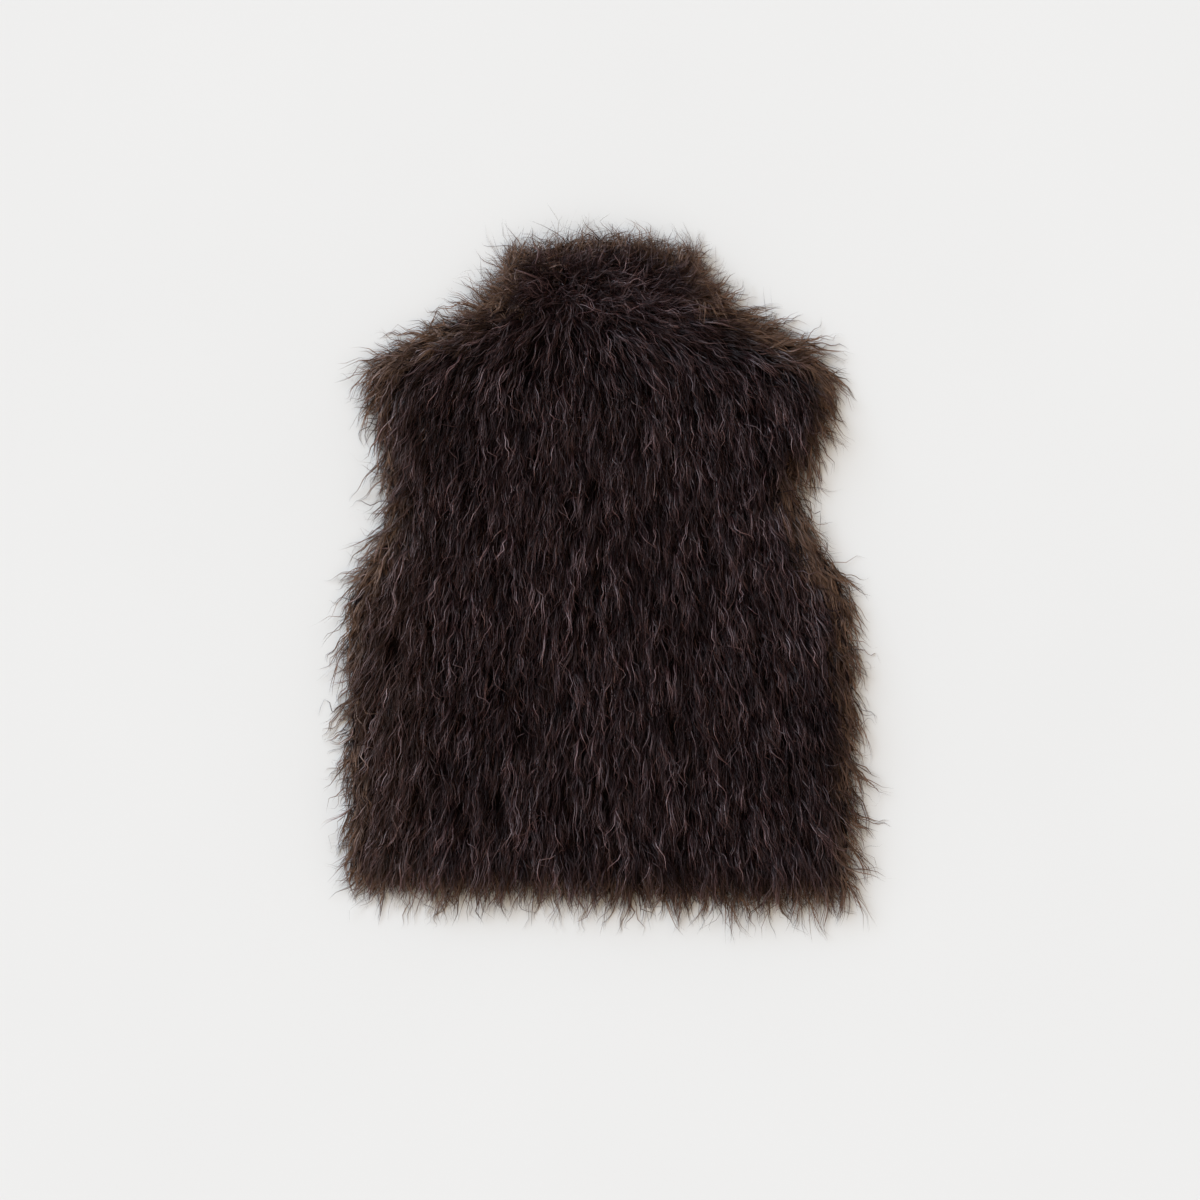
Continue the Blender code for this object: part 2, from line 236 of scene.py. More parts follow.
def cut_edge(rows, side):
    """One side of a table of cut edges as plan points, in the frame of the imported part."""
    name = "left" if side < 0 else "right"
    return [(side * row[name] - LAID_CENTRE[0], row["height"] - LAID_CENTRE[1]) for row in rows]


def bowed(start, end, rise, count):
    """A shallow arc between two plan points."""
    share = np.linspace(0, 1, count + 1)
    points = np.outer(1 - share, start) + np.outer(share, end)
    points[:, 1] += rise * np.sin(math.pi * share)
    return points


def cut_piece(bottom, top, left, right):
    """The plan grid of a cut piece between its four edges, rows from bottom to top."""
    u = np.linspace(0, 1, len(bottom))[None, :, None]
    v = np.linspace(0, 1, len(left))[:, None, None]
    across = (1 - v) * bottom[None] + v * top[None]
    along = (1 - u) * left[:, None] + u * right[:, None]
    corners = (1 - v) * ((1 - u) * bottom[0] + u * bottom[-1]) + v * ((1 - u) * top[0] + u * top[-1])
    return across + along - corners


def unit(vectors):
    """Vectors scaled to a length of one."""
    return vectors / np.maximum(np.linalg.norm(vectors, axis=-1, keepdims=True), 1e-9)


def outward_from(edges, place):
    """Distance from the nearest free edge, and the plan direction from inside out through it."""
    best = np.full(len(place), np.inf)
    way = np.zeros((len(place), 3))
    for edge in edges:
        for start, end in zip(edge, edge[1:]):
            run = end - start
            share = np.clip(((place[:, :2] - start) @ run) / (run @ run), 0, 1)
            gap = start + share[:, None] * run - place[:, :2]
            far = np.linalg.norm(gap, axis=1)
            nearer = far < best
            best[nearer] = far[nearer]
            way[nearer, :2] = gap[nearer]
    return best, unit(way)


def crease_height(plan):
    """How far the soft creases lift or lower the cloth."""
    lift = np.zeros(plan.shape[:-1])
    for crease in CREASES:
        turn = math.radians(crease["turn"])
        dx = plan[..., 0] - crease["x"]
        dy = plan[..., 1] - crease["y"]
        along = dx * math.cos(turn) + dy * math.sin(turn)
        across = dy * math.cos(turn) - dx * math.sin(turn)
        fade = (2 * along / crease["length"]) ** 2 + (2 * across / crease["width"]) ** 2
        lift += crease["height"] * np.exp(-fade)
    return lift


def grid_normals(grid):
    """Unit normals of a grid of points in space."""
    return unit(np.cross(np.gradient(grid, axis=1), np.gradient(grid, axis=0)))


def border_of(rows, columns):
    """The vertex numbers round a grid's border, in order."""
    number = np.arange(rows * columns).reshape(rows, columns)
    return np.concatenate([number[0, :-1], number[:-1, -1], number[-1, :0:-1], number[:0:-1, 0]])


def cloth_shell(name, grid, thickness, material):
    """A closed thin cloth around a grid of points on its middle surface."""
    rows, columns = grid.shape[:2]
    normal = grid_normals(grid)
    points = np.vstack([(grid + side * normal * thickness / 2).reshape(-1, 3) for side in (1, -1)])
    number = np.arange(rows * columns).reshape(rows, columns)
    corners = [number[:-1, :-1], number[:-1, 1:], number[1:, 1:], number[1:, :-1]]
    quads = np.stack(corners, axis=-1).reshape(-1, 4)
    rim = border_of(rows, columns)
    next_rim = np.roll(rim, -1)
    under = rows * columns
    edge = np.stack([rim, rim + under, next_rim + under, next_rim], axis=-1)
    faces = np.vstack([quads, quads[:, ::-1] + under, edge])
    mesh = bpy.data.meshes.new(name)
    mesh.from_pydata(points.tolist(), [], faces.tolist())
    mesh.materials.append(material)
    mesh.shade_smooth()
    mesh.set_sharp_from_angle(angle=math.radians(SHARP_EDGE_DEGREES))
    piece = bpy.data.objects.new(name, mesh)
    bpy.context.scene.collection.objects.link(piece)
    return piece


def stand_for(piece, node):
    """Makes a piece stand for its CAD node and ride on the vest's one body."""
    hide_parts(node)
    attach(piece, "root")


def warp_knit_ground():
    """Warp-knitted polyester: a matte dark brown cloth with fine raised wales, painted near black as the
    shade deep under the pile.
    """
    material, tree = new_material("warp_knit_ground")
    place = add_node(tree, "ShaderNodeTexCoord").outputs["Object"]
    wales = add_node(
        tree,
        "ShaderNodeTexWave",
        {"wave_type": "BANDS", "bands_direction": "X"},
        {"Scale": 1 / (BANDS_A_METRE_AT_SCALE_1 * KNIT_WALE), "Distortion": 1.5, "Detail": 2.0},
        {"Vector": place},
    )
    relief = {"Strength": 0.5, "Distance": KNIT_RELIEF}
    bump = add_node(tree, "ShaderNodeBump", values=relief, links={"Height": wales.outputs["Fac"]})
    shade = mixed(tree, wales.outputs["Fac"], linear(KNIT_DARK_HEX), linear(KNIT_LIGHT_HEX))
    shader = add_node(
        tree,
        "ShaderNodeBsdfPrincipled",
        values={"Roughness": 0.9, "Specular IOR Level": 0.1},
        links={"Base Color": shade, "Normal": bump.outputs["Normal"]},
    )
    add_node(tree, "ShaderNodeOutputMaterial", links={"Surface": shader.outputs["BSDF"]})
    return material


ground_cloth = warp_knit_ground()
body_left = smooth_line(cut_edge(BODY_SIDE, -1), CUT_ROWS)
body_right = smooth_line(cut_edge(BODY_SIDE, 1), CUT_ROWS)
hem_end = np.linspace(1, 0, CUT_ROWS + 1) ** HEM_LEAN_POWER
body_left[:, 1] += LEFT_HEM_LEAN_SHARE * HEM_LEAN * hem_end
body_right[:, 1] -= HEM_LEAN * hem_end
shoulder_columns = CUT_COLUMNS // 4
left_shoulder = smooth_line(cut_edge(BODY_SHOULDER, -1), shoulder_columns)
right_shoulder = smooth_line(cut_edge(BODY_SHOULDER, 1), shoulder_columns)
back_neck = bowed(left_shoulder[-1], right_shoulder[-1], -NECK_DIP, CUT_COLUMNS - 2 * shoulder_columns)
back_top = np.vstack([left_shoulder, back_neck[1:-1], right_shoulder[::-1]])
back_hem = bowed(body_left[0], body_right[0], -HEM_DIP, CUT_COLUMNS)
back_plan = cut_piece(back_hem, back_top, body_left, body_right)
side_edges = [body_left, body_right, left_shoulder, right_shoulder, back_hem]
back_edge_distance = outward_from(side_edges, back_plan.reshape(-1, 2))[0].reshape(back_plan.shape[:2])
back_drop = BACK_EDGE_DROP * (1 - np.clip(back_edge_distance / EDGE_DROP_REACH, 0, 1)) ** 2
crease_share = np.clip(back_edge_distance / CREASE_FADE, 0, 1)
back_height = BACK_GROUND_HEIGHT - back_drop + crease_height(back_plan) * crease_share
back_grid = np.dstack([back_plan, back_height])
back_ground = cloth_shell("ground_back", back_grid, GROUND_THICKNESS, ground_cloth)
stand_for(back_ground, "back_panel")

# The pile is dyed modacrylic fibre, 50 to 60 mm long and softly waved, knitted into the ground in tufts.
# It lies down the back, fans out over the shoulders from a parting on the collar, and gathers into thin
# pointed locks that curl at their tips. Loose hairs stand clear of the locks along the free edges.
PILE_SEED = 5
TUFTS_ACROSS = 42
TUFTS_ALONG = 51
TUFT_RADIUS = 0.0042
LOCK_RADIUS = 0.0016
TABLE_CLEARANCE = 0.0010

# The way the pile lies
PARTING_X = -0.033 - LAID_CENTRE[0]
PARTING_WIDTH = 0.010
PARTING_REACH = 0.030
PARTING_TANGLE = 2.4
FAN_TOP = 0.281 - LAID_CENTRE[1]
FAN_START = 0.030
FAN_END = 0.135
SIDE_FAN_DEGREES = 14.0
SIDE_FAN_WIDTH = 0.22
SIDE_FAN_MOST = 1.2
COLLAR_CREST = 0.312 - LAID_CENTRE[1]
CREST_TURN_DEGREES = 72.0
CREST_EASED_ASIDE = 0.4
CREST_HALF_WIDTH = 0.11

# What changes towards the free edges, and the painted light on the flank that faces the lamp
EDGE_REACH = 0.031
EDGE_TANGLE = 1.2
UPWARD_SPLAY = 1.0
TILT_POWER = 1.6
SHORT_AT_EDGE = -0.60
LONGER_AT_EDGE = 1.02
LONGER_AT_HEM = 0.34
GROWTH_POWER = 2.4
LONGEST_FIBRE = 1.00
LONGEST_AT_HEM = 0.15
CURL_AT_EDGE = 0.6
FLATTER_AT_EDGE = 0.62
SAG_AT_EDGE_DEGREES = 18.0
RIM_START = 0.18
FLANK_START = 0.14
FLANK_END = 0.22
# Painted light: the pile on the flank that faces the lamp is painted lighter and takes some warm glow
FLANK_PAINTED_LIGHT = 0.14
FLANK_PAINTED_GLOW = 0.14

# How far tufts, locks and fibres differ, as shares from least to most or as a usual spread
TUFT_LENGTHS = (0.88, 1.10)
TUFT_LIFTS = (0.50, 1.40)
TONES = (-0.5, 0.5)
LOCK_LENGTHS = (0.80, 1.10)
LOCK_LIFTS = (0.70, 1.30)
LOCK_WAVES = (0.4, 1.6)
LOCK_WAVE_LENGTHS = (0.015, 0.032)
LOCK_PHASE_SPREAD = 1.2
FIBRE_LENGTHS = (0.80, 1.06)
EDGE_FIBRE_LENGTHS = (-0.16, 0.10)
LONGEST_FIBRES = (0.85, 1.0)
FIBRE_LIFTS = (0.90, 1.10)
FIBRE_WAVES = (0.75, 1.25)
FIBRE_WIDTHS = (0.7, 1.3)
FIBRE_TURN_DEGREES = 2.5
FIBRE_PHASE_SPREAD = 0.35
FIBRE_CURL_SPREAD = 0.25
STRAY_TURN = 0.45

# The course of one fibre, and the steps that a ribbon takes along it
LOCK_STEPS = np.array([0.0, 0.16, 0.32, 0.46, 0.58, 0.70, 0.80, 0.90, 1.0])
PRESSED_STEPS = np.array([0.0, 0.27, 0.53, 0.78, 1.0])
LOOSE_STEPS = np.linspace(0, 1, 12)
FINE_STEPS = 40
STANDING_DEGREES = 58.0
LEAN_OVER_POWER = 1.4
SAG_DEGREES = 5.0
SWAY_POWER = 0.8
CURL_POWER = 2.5
BOB_SHARE = 0.5
BOB_RATE = 1.1
GATHERED_AT_TIP = 0.85
GATHER_POWER = 0.7
LOCK_NARROWED = 0.25
DROOP_POWER = 1.7
LATER_PLACE = 0.6
RIBBON_TWIST = 2.6
RIBBON_ROLL = 0.9
NORMAL_FACING = 0.75
NORMAL_LEAN = 0.66
TAPER_PLACES = [0.0, 0.15, 0.6, 1.0]
TAPER_WIDTHS = [0.8, 1.0, 0.8, 0.0]
LANES_TO_CELLS = 4
CELL_SIDE = 0.20
CELL_END = 0.08

# The dye along a fibre, with painted shade that darkens it towards the root, and how much warm painted light
# it takes on for the light through its tip
# Painted shade: the stops darken each fibre towards its root, deep in the pile
DYE_AND_ROOT_SHADE_STOPS = [(0.0, "#070303"), (0.5, "#1e0d0e"), (1.0, "#332020")]
LIT_TIP_HEX = "#886a57"
LIT_TIP_STOPS = [(0.0, 0.0), (0.5, 0.76), (0.8, 0.45), (1.0, 0.12)]
LOCK_CONTRAST = 1.3
STRAND_CONTRAST = 1.15
FIBRE_SHINE = 0.20


def smooth_step(value, low, high):
    """0 below low, 1 above high, and an even curve between."""
    share = np.clip((value - low) / (high - low), 0, 1)
    return share * share * (3 - 2 * share)


def fall_of_pile(place):
    """Plan direction of the pile: outward from the parting and up at the collar's crest, a fan below it,
    and then down the back."""
    aside = place[:, 0] - PARTING_X
    below = FAN_TOP - place[:, 1]
    fan = np.arctan2(np.abs(aside), np.maximum(below, 0.0) + 1e-4)
    crest = math.radians(CREST_TURN_DEGREES) * smooth_step(-below, 0.0, COLLAR_CREST - FAN_TOP)
    fan += crest * (1 - CREST_EASED_ASIDE * np.clip(np.abs(aside) / CREST_HALF_WIDTH, 0, 1))
    side_share = np.clip(place[:, 0] / SIDE_FAN_WIDTH, -SIDE_FAN_MOST, SIDE_FAN_MOST)
    down = math.radians(SIDE_FAN_DEGREES) * side_share
    down_share = smooth_step(below, FAN_START, FAN_END)
    x = np.tanh(aside / PARTING_WIDTH) * np.sin(fan) * (1 - down_share) + np.sin(down) * down_share
    y = -np.cos(fan) * (1 - down_share) - np.cos(down) * down_share
    return unit(np.column_stack([x, y, np.zeros(len(x))]))


def roots_on(grid, across, along, rng):
    """One jittered tuft root for each cell of a piece, with its normal and how far up the piece it is."""
    rows, columns = grid.shape[:2]
    v = (np.repeat(np.arange(along), across) + rng.uniform(0, 1, across * along)) / along * (rows - 1)
    u = (np.tile(np.arange(across), along) + rng.uniform(0, 1, across * along)) / across * (columns - 1)
    low_v = np.minimum(v.astype(int), rows - 2)
    low_u = np.minimum(u.astype(int), columns - 2)
    fv = (v - low_v)[:, None]
    fu = (u - low_u)[:, None]

    def blend(values):
        lower = values[low_v, low_u] * (1 - fu) + values[low_v, low_u + 1] * fu
        upper = values[low_v + 1, low_u] * (1 - fu) + values[low_v + 1, low_u + 1] * fu
        return lower * (1 - fv) + upper * fv

    return blend(grid), unit(blend(grid_normals(grid))), v / (rows - 1)


def rows_of(values, count):
    """Each entry repeated count times."""
    return np.repeat(values, count, axis=0)


def scaled(values, count, shares, rng):
    """Each entry passed on to count followers, which each scale it a little differently."""
    return rows_of(values, count) * rng.uniform(*shares, len(values) * count)


def shifted(values, count, spread, rng):
    """Each entry passed on to count followers, which each shift it a little differently."""
    return rows_of(values, count) + rng.normal(0, spread, len(values) * count)


def turned(heading, up, angle):
    """Headings square to up, turned round it."""
    return heading * np.cos(angle)[:, None] + np.cross(up, heading) * np.sin(angle)[:, None]


def square_to(up, heading):
    """Headings laid into the plane square to up."""
    return unit(heading - up * np.sum(heading * up, axis=1, keepdims=True))


def grow_tufts(root, near_edge, reach, pile, rng):
    """What each tuft hands on to its locks: tangle, heading, length, lift, phase of its waves, and tone."""
    count = len(root)
    from_parting = np.linalg.norm(root[:, :2] - np.array([PARTING_X, FAN_TOP]), axis=1)
    at_parting = np.exp(-((from_parting / PARTING_REACH) ** 2))
    tangle = math.radians(pile["tangle"]) * (1 + PARTING_TANGLE * at_parting + EDGE_TANGLE * near_edge)
    return {
        "tangle": tangle,
        "turn": rng.normal(0, 1, count) * tangle,
        "length": pile["length"] * reach * rng.uniform(*TUFT_LENGTHS, count),
        "lift": pile["lift"] * rng.uniform(*TUFT_LIFTS, count),
        "phase": rng.uniform(0, 2 * math.pi, count),
        "tone": rng.uniform(*TONES, count),
    }


def part_into_locks(tuft, root, near_edge, at_hem, pile, rng):
    """What each lock of the tufts hands on to its fibres. Edge locks are short but for a few long ones."""
    each = pile["locks"]
    count = len(root) * each
    edge = rows_of(near_edge, each)
    turn = rows_of(tuft["turn"], each) + rng.normal(0, 1, count) * rows_of(tuft["tangle"], each)
    length = scaled(tuft["length"], each, LOCK_LENGTHS, rng)
    growth = LONGER_AT_EDGE + LONGER_AT_HEM * rows_of(at_hem, each)
    length *= 1 + edge * (SHORT_AT_EDGE + growth * rng.uniform(0, 1, count) ** GROWTH_POWER)
    lift = scaled(tuft["lift"], each, LOCK_LIFTS, rng)
    phase = shifted(tuft["phase"], each, LOCK_PHASE_SPREAD, rng)
    tone = rows_of(tuft["tone"], each) + rng.uniform(*TONES, count)
    # Painted light: locks on the flank that faces the lamp are painted lighter
    tone += rows_of(FLANK_PAINTED_LIGHT * smooth_step(-root[:, 0], FLANK_START, FLANK_END), each)
    return {
        "turn": turn,
        "length": length,
        "lift": lift,
        "phase": phase,
        "tone": tone,
        "wave": pile["wave"] * rng.uniform(*LOCK_WAVES, count),
        "curl": rng.normal(0, 1, count) * pile["curl"] * (1 + CURL_AT_EDGE * edge),
        "wave_length": rng.uniform(*LOCK_WAVE_LENGTHS, count),
        "place": rng.normal(0, TUFT_RADIUS, (count, 2)),
    }


def part_into_fibres(lock, edge, at_hem, pile, rng):
    """What each fibre of the locks has. A few fibres stray from their lock."""
    each = pile["fibres"]
    count = len(edge)
    stray = rng.uniform(0, 1, count) < pile["stray"]
    turn = shifted(lock["turn"], each, math.radians(FIBRE_TURN_DEGREES), rng)
    turn += stray * rng.normal(0, STRAY_TURN, count)
    length = scaled(lock["length"], each, FIBRE_LENGTHS, rng)
    length *= 1 + edge * rng.uniform(*EDGE_FIBRE_LENGTHS, count)
    longest = pile["length"] * (LONGEST_FIBRE + LONGEST_AT_HEM * at_hem)
    return {
        "turn": turn,
        "length": np.minimum(length, longest * rng.uniform(*LONGEST_FIBRES, count)),
        "lift": scaled(lock["lift"], each, FIBRE_LIFTS, rng),
        "phase": shifted(lock["phase"], each, FIBRE_PHASE_SPREAD, rng),
        "wave": scaled(lock["wave"], each, FIBRE_WAVES, rng) * (1 + stray),
        "curl": shifted(lock["curl"], each, FIBRE_CURL_SPREAD * pile["curl"], rng),
        "place": rng.normal(0, LOCK_RADIUS, (count, 2)),
        "lock_place": rows_of(lock["place"], each),
        "wave_length": rows_of(lock["wave_length"], each),
        "tone": rows_of(lock["tone"], each),
    }


def run_of(rates, length, steps):
    """How far a rate along finely cut fibres carries them by each of their steps."""
    total = np.cumsum(rates[:, 1:], axis=1) / FINE_STEPS
    pick = np.round(steps * FINE_STEPS).astype(int)
    return np.concatenate([np.zeros((len(rates), 1)), total], axis=1)[:, pick] * length[:, None]


def fibre_paths(base, up, outward, edge, fibre, pile):
    """The course of each fibre. It stands up from the ground, leans over the way the pile lies, and sways.
    Fibres of a lock start side by side and meet again at its tip, which curls."""
    upward = np.maximum(outward[:, 1], 0)
    out = outward * (pile["splay"] * edge * (1 + UPWARD_SPLAY * upward))[:, None]
    hang = np.outer(pile["hang"] * edge * (1 - upward**2), [0.0, -1.0, 0.0])
    length = fibre["length"]
    first_fall = square_to(up, fall_of_pile(base))
    later = base + first_fall * (LATER_PLACE * length)[:, None]
    heading = turned(square_to(up, first_fall + out), up, fibre["turn"])
    bent = turned(square_to(up, fall_of_pile(later) + out + hang), up, fibre["turn"]) - heading
    aside = np.cross(up, heading)

    fine = np.linspace(0, 1, FINE_STEPS + 1)[None, :]
    standing = (math.radians(STANDING_DEGREES) * fibre["lift"] * (1 - FLATTER_AT_EDGE * edge))[:, None]
    sagging = -pile["sag"] * np.radians(SAG_DEGREES + SAG_AT_EDGE_DEGREES * edge)[:, None]
    climb = standing * (1 - fine) ** LEAN_OVER_POWER + sagging * fine

    t = pile["steps"][None, :]
    phase = fibre["phase"][:, None]
    swing = 2 * math.pi * t * (length / fibre["wave_length"])[:, None] + phase
    reach = fibre["wave"][:, None] * t**SWAY_POWER
    sway = reach * (np.sin(swing) - np.sin(phase) * (1 - t)) + fibre["curl"][:, None] * t**CURL_POWER
    bob = BOB_SHARE * reach * np.cos(BOB_RATE * swing)
    gather = (1 - GATHERED_AT_TIP * t**GATHER_POWER)[..., None]
    narrow = (1 - LOCK_NARROWED * t)[..., None]
    offset = fibre["lock_place"][:, None] * narrow + fibre["place"][:, None] * gather
    path = (
        base[:, None]
        + heading[:, None] * (run_of(np.cos(climb), length, pile["steps"]) + offset[..., 1])[..., None]
        + bent[:, None] * run_of(fine * np.cos(climb), length, pile["steps"])[..., None]
        + aside[:, None] * (sway + offset[..., 0])[..., None]
        + up[:, None] * (run_of(np.sin(climb), length, pile["steps"]) + bob)[..., None]
    )
    path[..., 2] -= pile["droop"] * edge[:, None] * t**DROOP_POWER
    return path


def lay_fibres(root, up, outward, near_edge, reach, pile, rng):
    """Paths of all fibres that grow from tuft roots, with the way up at each root, and their tones."""
    each = pile["locks"] * pile["fibres"]
    at_hem = near_edge * np.maximum(-outward[:, 1], 0)
    tuft = grow_tufts(root, near_edge, reach, pile, rng)
    lock = part_into_locks(tuft, root, near_edge, at_hem, pile, rng)
    edge = rows_of(near_edge, each)
    fibre = part_into_fibres(lock, edge, rows_of(at_hem, each), pile, rng)
    base = rows_of(root, each)
    up = rows_of(up, each)
    path = fibre_paths(base, up, rows_of(outward, each), edge, fibre, pile)
    # Painted light: fibres near a free edge take a warm painted glow, for light shining through their tips
    rim = pile["painted_glow"] * smooth_step(edge, RIM_START, 1.0)
    # Painted light: the flank that faces the lamp also takes some of the warm painted glow
    rim = np.maximum(rim, FLANK_PAINTED_GLOW * smooth_step(-base[:, 0], FLANK_START, FLANK_END))
    tones = {"lock": fibre["tone"], "strand": rng.uniform(-1, 1, len(edge)), "rim": rim}
    return path, up, tones


def ribbon_points(path, up, tones, pile, rng):
    """Points of one tapered ribbon for each path, two at a step and one at the tip, and normals that lean
    to both sides and so shade it as a round fibre."""
    count = len(path)
    steps = pile["steps"]
    tangent = unit(np.gradient(path, axis=1))
    flat = unit(np.cross(tangent, up[:, None]))
    face = np.cross(flat, tangent)
    twist = rng.uniform(-RIBBON_TWIST, RIBBON_TWIST, count)[:, None] * steps[None, :]
    roll = (rng.uniform(-RIBBON_ROLL, RIBBON_ROLL, count)[:, None] + twist)[..., None]
    wide = flat * np.cos(roll) + face * np.sin(roll)
    facing = unit(np.cross(wide, tangent))
    taper = np.interp(steps, TAPER_PLACES, TAPER_WIDTHS)
    width = pile["width"] * rng.uniform(*FIBRE_WIDTHS, count) * (1 - pile["thinned"] * tones["rim"])
    half = width[:, None, None] / 2 * taper[None, :, None]
    sides = np.stack([path - wide * half, path + wide * half], axis=2)[:, :-1]
    points = np.concatenate([sides.reshape(count, -1, 3), path[:, -1:]], axis=1)
    lean = wide * NORMAL_LEAN
    leaning = unit(np.stack([facing * NORMAL_FACING - lean, facing * NORMAL_FACING + lean], axis=2))[:, :-1]
    normals = np.concatenate([leaning.reshape(count, -1, 3), facing[:, -1:]], axis=1)
    return points, normals


def ribbon_faces(count, steps):
    """The corners of the ribbons' faces, quads with a triangle at the tip, and where each face starts."""
    pattern = []
    starts = []
    for step in range(steps - 2):
        starts.append(len(pattern))
        pattern += [2 * step, 2 * step + 1, 2 * step + 3, 2 * step + 2]
    starts.append(len(pattern))
    pattern += [2 * steps - 4, 2 * steps - 3, 2 * steps - 2]
    ribbon = np.arange(count)[:, None]
    corner = (ribbon * (2 * steps - 1) + np.array(pattern)[None]).ravel()
    first = (ribbon * len(pattern) + np.array(starts)[None]).ravel()
    return corner, first


def ribbon_cells(count, along):
    """Places on a square sheet that give each ribbon a cell of its own, in lanes side by side."""
    cells = math.ceil(math.sqrt(count / LANES_TO_CELLS))
    lanes = math.ceil(count / cells)
    ribbon = np.arange(count)
    across = np.append(np.tile([CELL_SIDE, 1 - CELL_SIDE], (len(along) - 1) // 2), 0.5)
    u = ((ribbon % lanes)[:, None] + across[None]) / lanes
    v = ((ribbon // lanes)[:, None] + CELL_END + (1 - 2 * CELL_END) * along[None]) / cells
    return np.stack([u, v], axis=-1).reshape(-1, 2)


def fibre_mesh(name, path, up, tones, pile, material, rng):
    """One joined mesh of the fibres on their paths, with their tones as values for the material."""
    path[..., 2] = np.maximum(path[..., 2], TABLE_CLEARANCE)
    count, steps = path.shape[:2]
    points, normals = ribbon_points(path, up, tones, pile, rng)
    per = points.shape[1]
    corner, first = ribbon_faces(count, steps)
    mesh = bpy.data.meshes.new(name)
    mesh.vertices.add(count * per)
    mesh.vertices.foreach_set("co", points.astype(np.float32).ravel())
    mesh.loops.add(len(corner))
    mesh.loops.foreach_set("vertex_index", corner.astype(np.int32))
    mesh.polygons.add(len(first))
    mesh.polygons.foreach_set("loop_start", first.astype(np.int32))
    mesh.update(calc_edges=True)
    along = np.append(np.repeat(pile["steps"][:-1], 2), 1.0)
    values = {tone: np.repeat(one, per) for tone, one in tones.items()}
    values["along"] = np.tile(along, count)
    for tone, each in values.items():
        attribute = mesh.attributes.new(tone, "FLOAT", "POINT")
        attribute.data.foreach_set("value", each.astype(np.float32))
    layer = mesh.uv_layers.new(name="OFBake")
    layer.data.foreach_set("uv", ribbon_cells(count, along)[corner].astype(np.float32).ravel())
    mesh.shade_smooth()
    mesh.normals_split_custom_set_from_vertices(normals.reshape(-1, 3).astype(np.float32))
    mesh.materials.append(material)
    piece = bpy.data.objects.new(name, mesh)
    bpy.context.scene.collection.objects.link(piece)
    return piece


def worked_out(tree, operation, *values):
    """What an operation makes of other nodes' outputs and fixed numbers."""
    node = add_node(tree, "ShaderNodeMath", {"operation": operation})
    for place, value in enumerate(values):
        if isinstance(value, float):
            node.inputs[place].default_value = value
        else:
            tree.links.new(value, node.inputs[place])
    return node.outputs[0]


def dyed_modacrylic():
    """Dyed modacrylic fibre: dark brown along it and paler at the tip, with painted shade that makes it near
    black at the root, and a soft cool shine. The warmer brown of the loose tips at the vest's edges is
    painted light, for light that passes through them."""
    material, tree = new_material("dyed_modacrylic")
    along, lock, strand, rim = [
        add_node(tree, "ShaderNodeAttribute", {"attribute_name": name}).outputs["Fac"]
        for name in ["along", "lock", "strand", "rim"]
    ]
    # Painted shade: the ramp darkens each fibre towards its root
    dye_and_root_shade = colour_ramp(tree, along, [(place, linear(colour)) for place, colour in DYE_AND_ROOT_SHADE_STOPS])
    lock_tone = worked_out(tree, "MULTIPLY", lock, LOCK_CONTRAST)
    tone = worked_out(tree, "MULTIPLY_ADD", strand, STRAND_CONTRAST, lock_tone)
    light = worked_out(tree, "EXPONENT", tone)
    toned = add_node(tree, "ShaderNodeVectorMath", {"operation": "SCALE"}, links={0: dye_and_root_shade, "Scale": light})
    # Painted light: the warm glow of light through the tips, mixed into the colour near a free edge
    lit_stops = [(place, (share, share, share, 1.0)) for place, share in LIT_TIP_STOPS]
    lit_share = worked_out(tree, "MULTIPLY", rim, colour_ramp(tree, along, lit_stops))
    warmed = add_node(
        tree,
        "ShaderNodeMix",
        {"data_type": "RGBA"},
        {"B": linear(LIT_TIP_HEX)},
        {"Factor": lit_share, "A": toned.outputs[0]},
    )
    shine = worked_out(tree, "MULTIPLY", light, FIBRE_SHINE)
    shader = add_node(
        tree,
        "ShaderNodeBsdfPrincipled",
        values={"Roughness": 0.42, "IOR": 1.5},
        links={"Base Color": warmed.outputs["Result"], "Specular IOR Level": shine},
    )
    add_node(tree, "ShaderNodeOutputMaterial", links={"Surface": shader.outputs["BSDF"]})
    return material


pile_fibre = dyed_modacrylic()
pile_rng = np.random.default_rng(PILE_SEED)


def plant(name, node, root, normal, edges, pile, reach=1.0):
    """Grows one piece of pile from its tuft roots, and makes it stand for its CAD node."""
    root = root + normal * GROUND_THICKNESS / 2
    far, out = outward_from(edges, root)
    near = 1 - np.clip(far / EDGE_REACH, 0, 1)
    tilt = pile["tilt"] * near * pile_rng.uniform(0, 1, len(near)) ** TILT_POWER
    tilted = unit(normal + out * tilt[:, None])
    path, up, tones = lay_fibres(root, tilted, out, near, reach, pile, pile_rng)
    piece = fibre_mesh(name, path, up, tones, pile, pile_fibre, pile_rng)
    stand_for(piece, node)
    return piece


def near_edges(root, edges, within, most, rng):
    """The numbers of some roots that lie close to a free edge, no more of them than asked for."""
    close = np.flatnonzero(outward_from(edges, root)[0] < within)
    return rng.permutation(close)[:most]


SEAM_WITHIN = 0.020
SEAM_TUFTS = 56
LOOSE_WITHIN = 0.030
LOOSE_TUFTS = 700

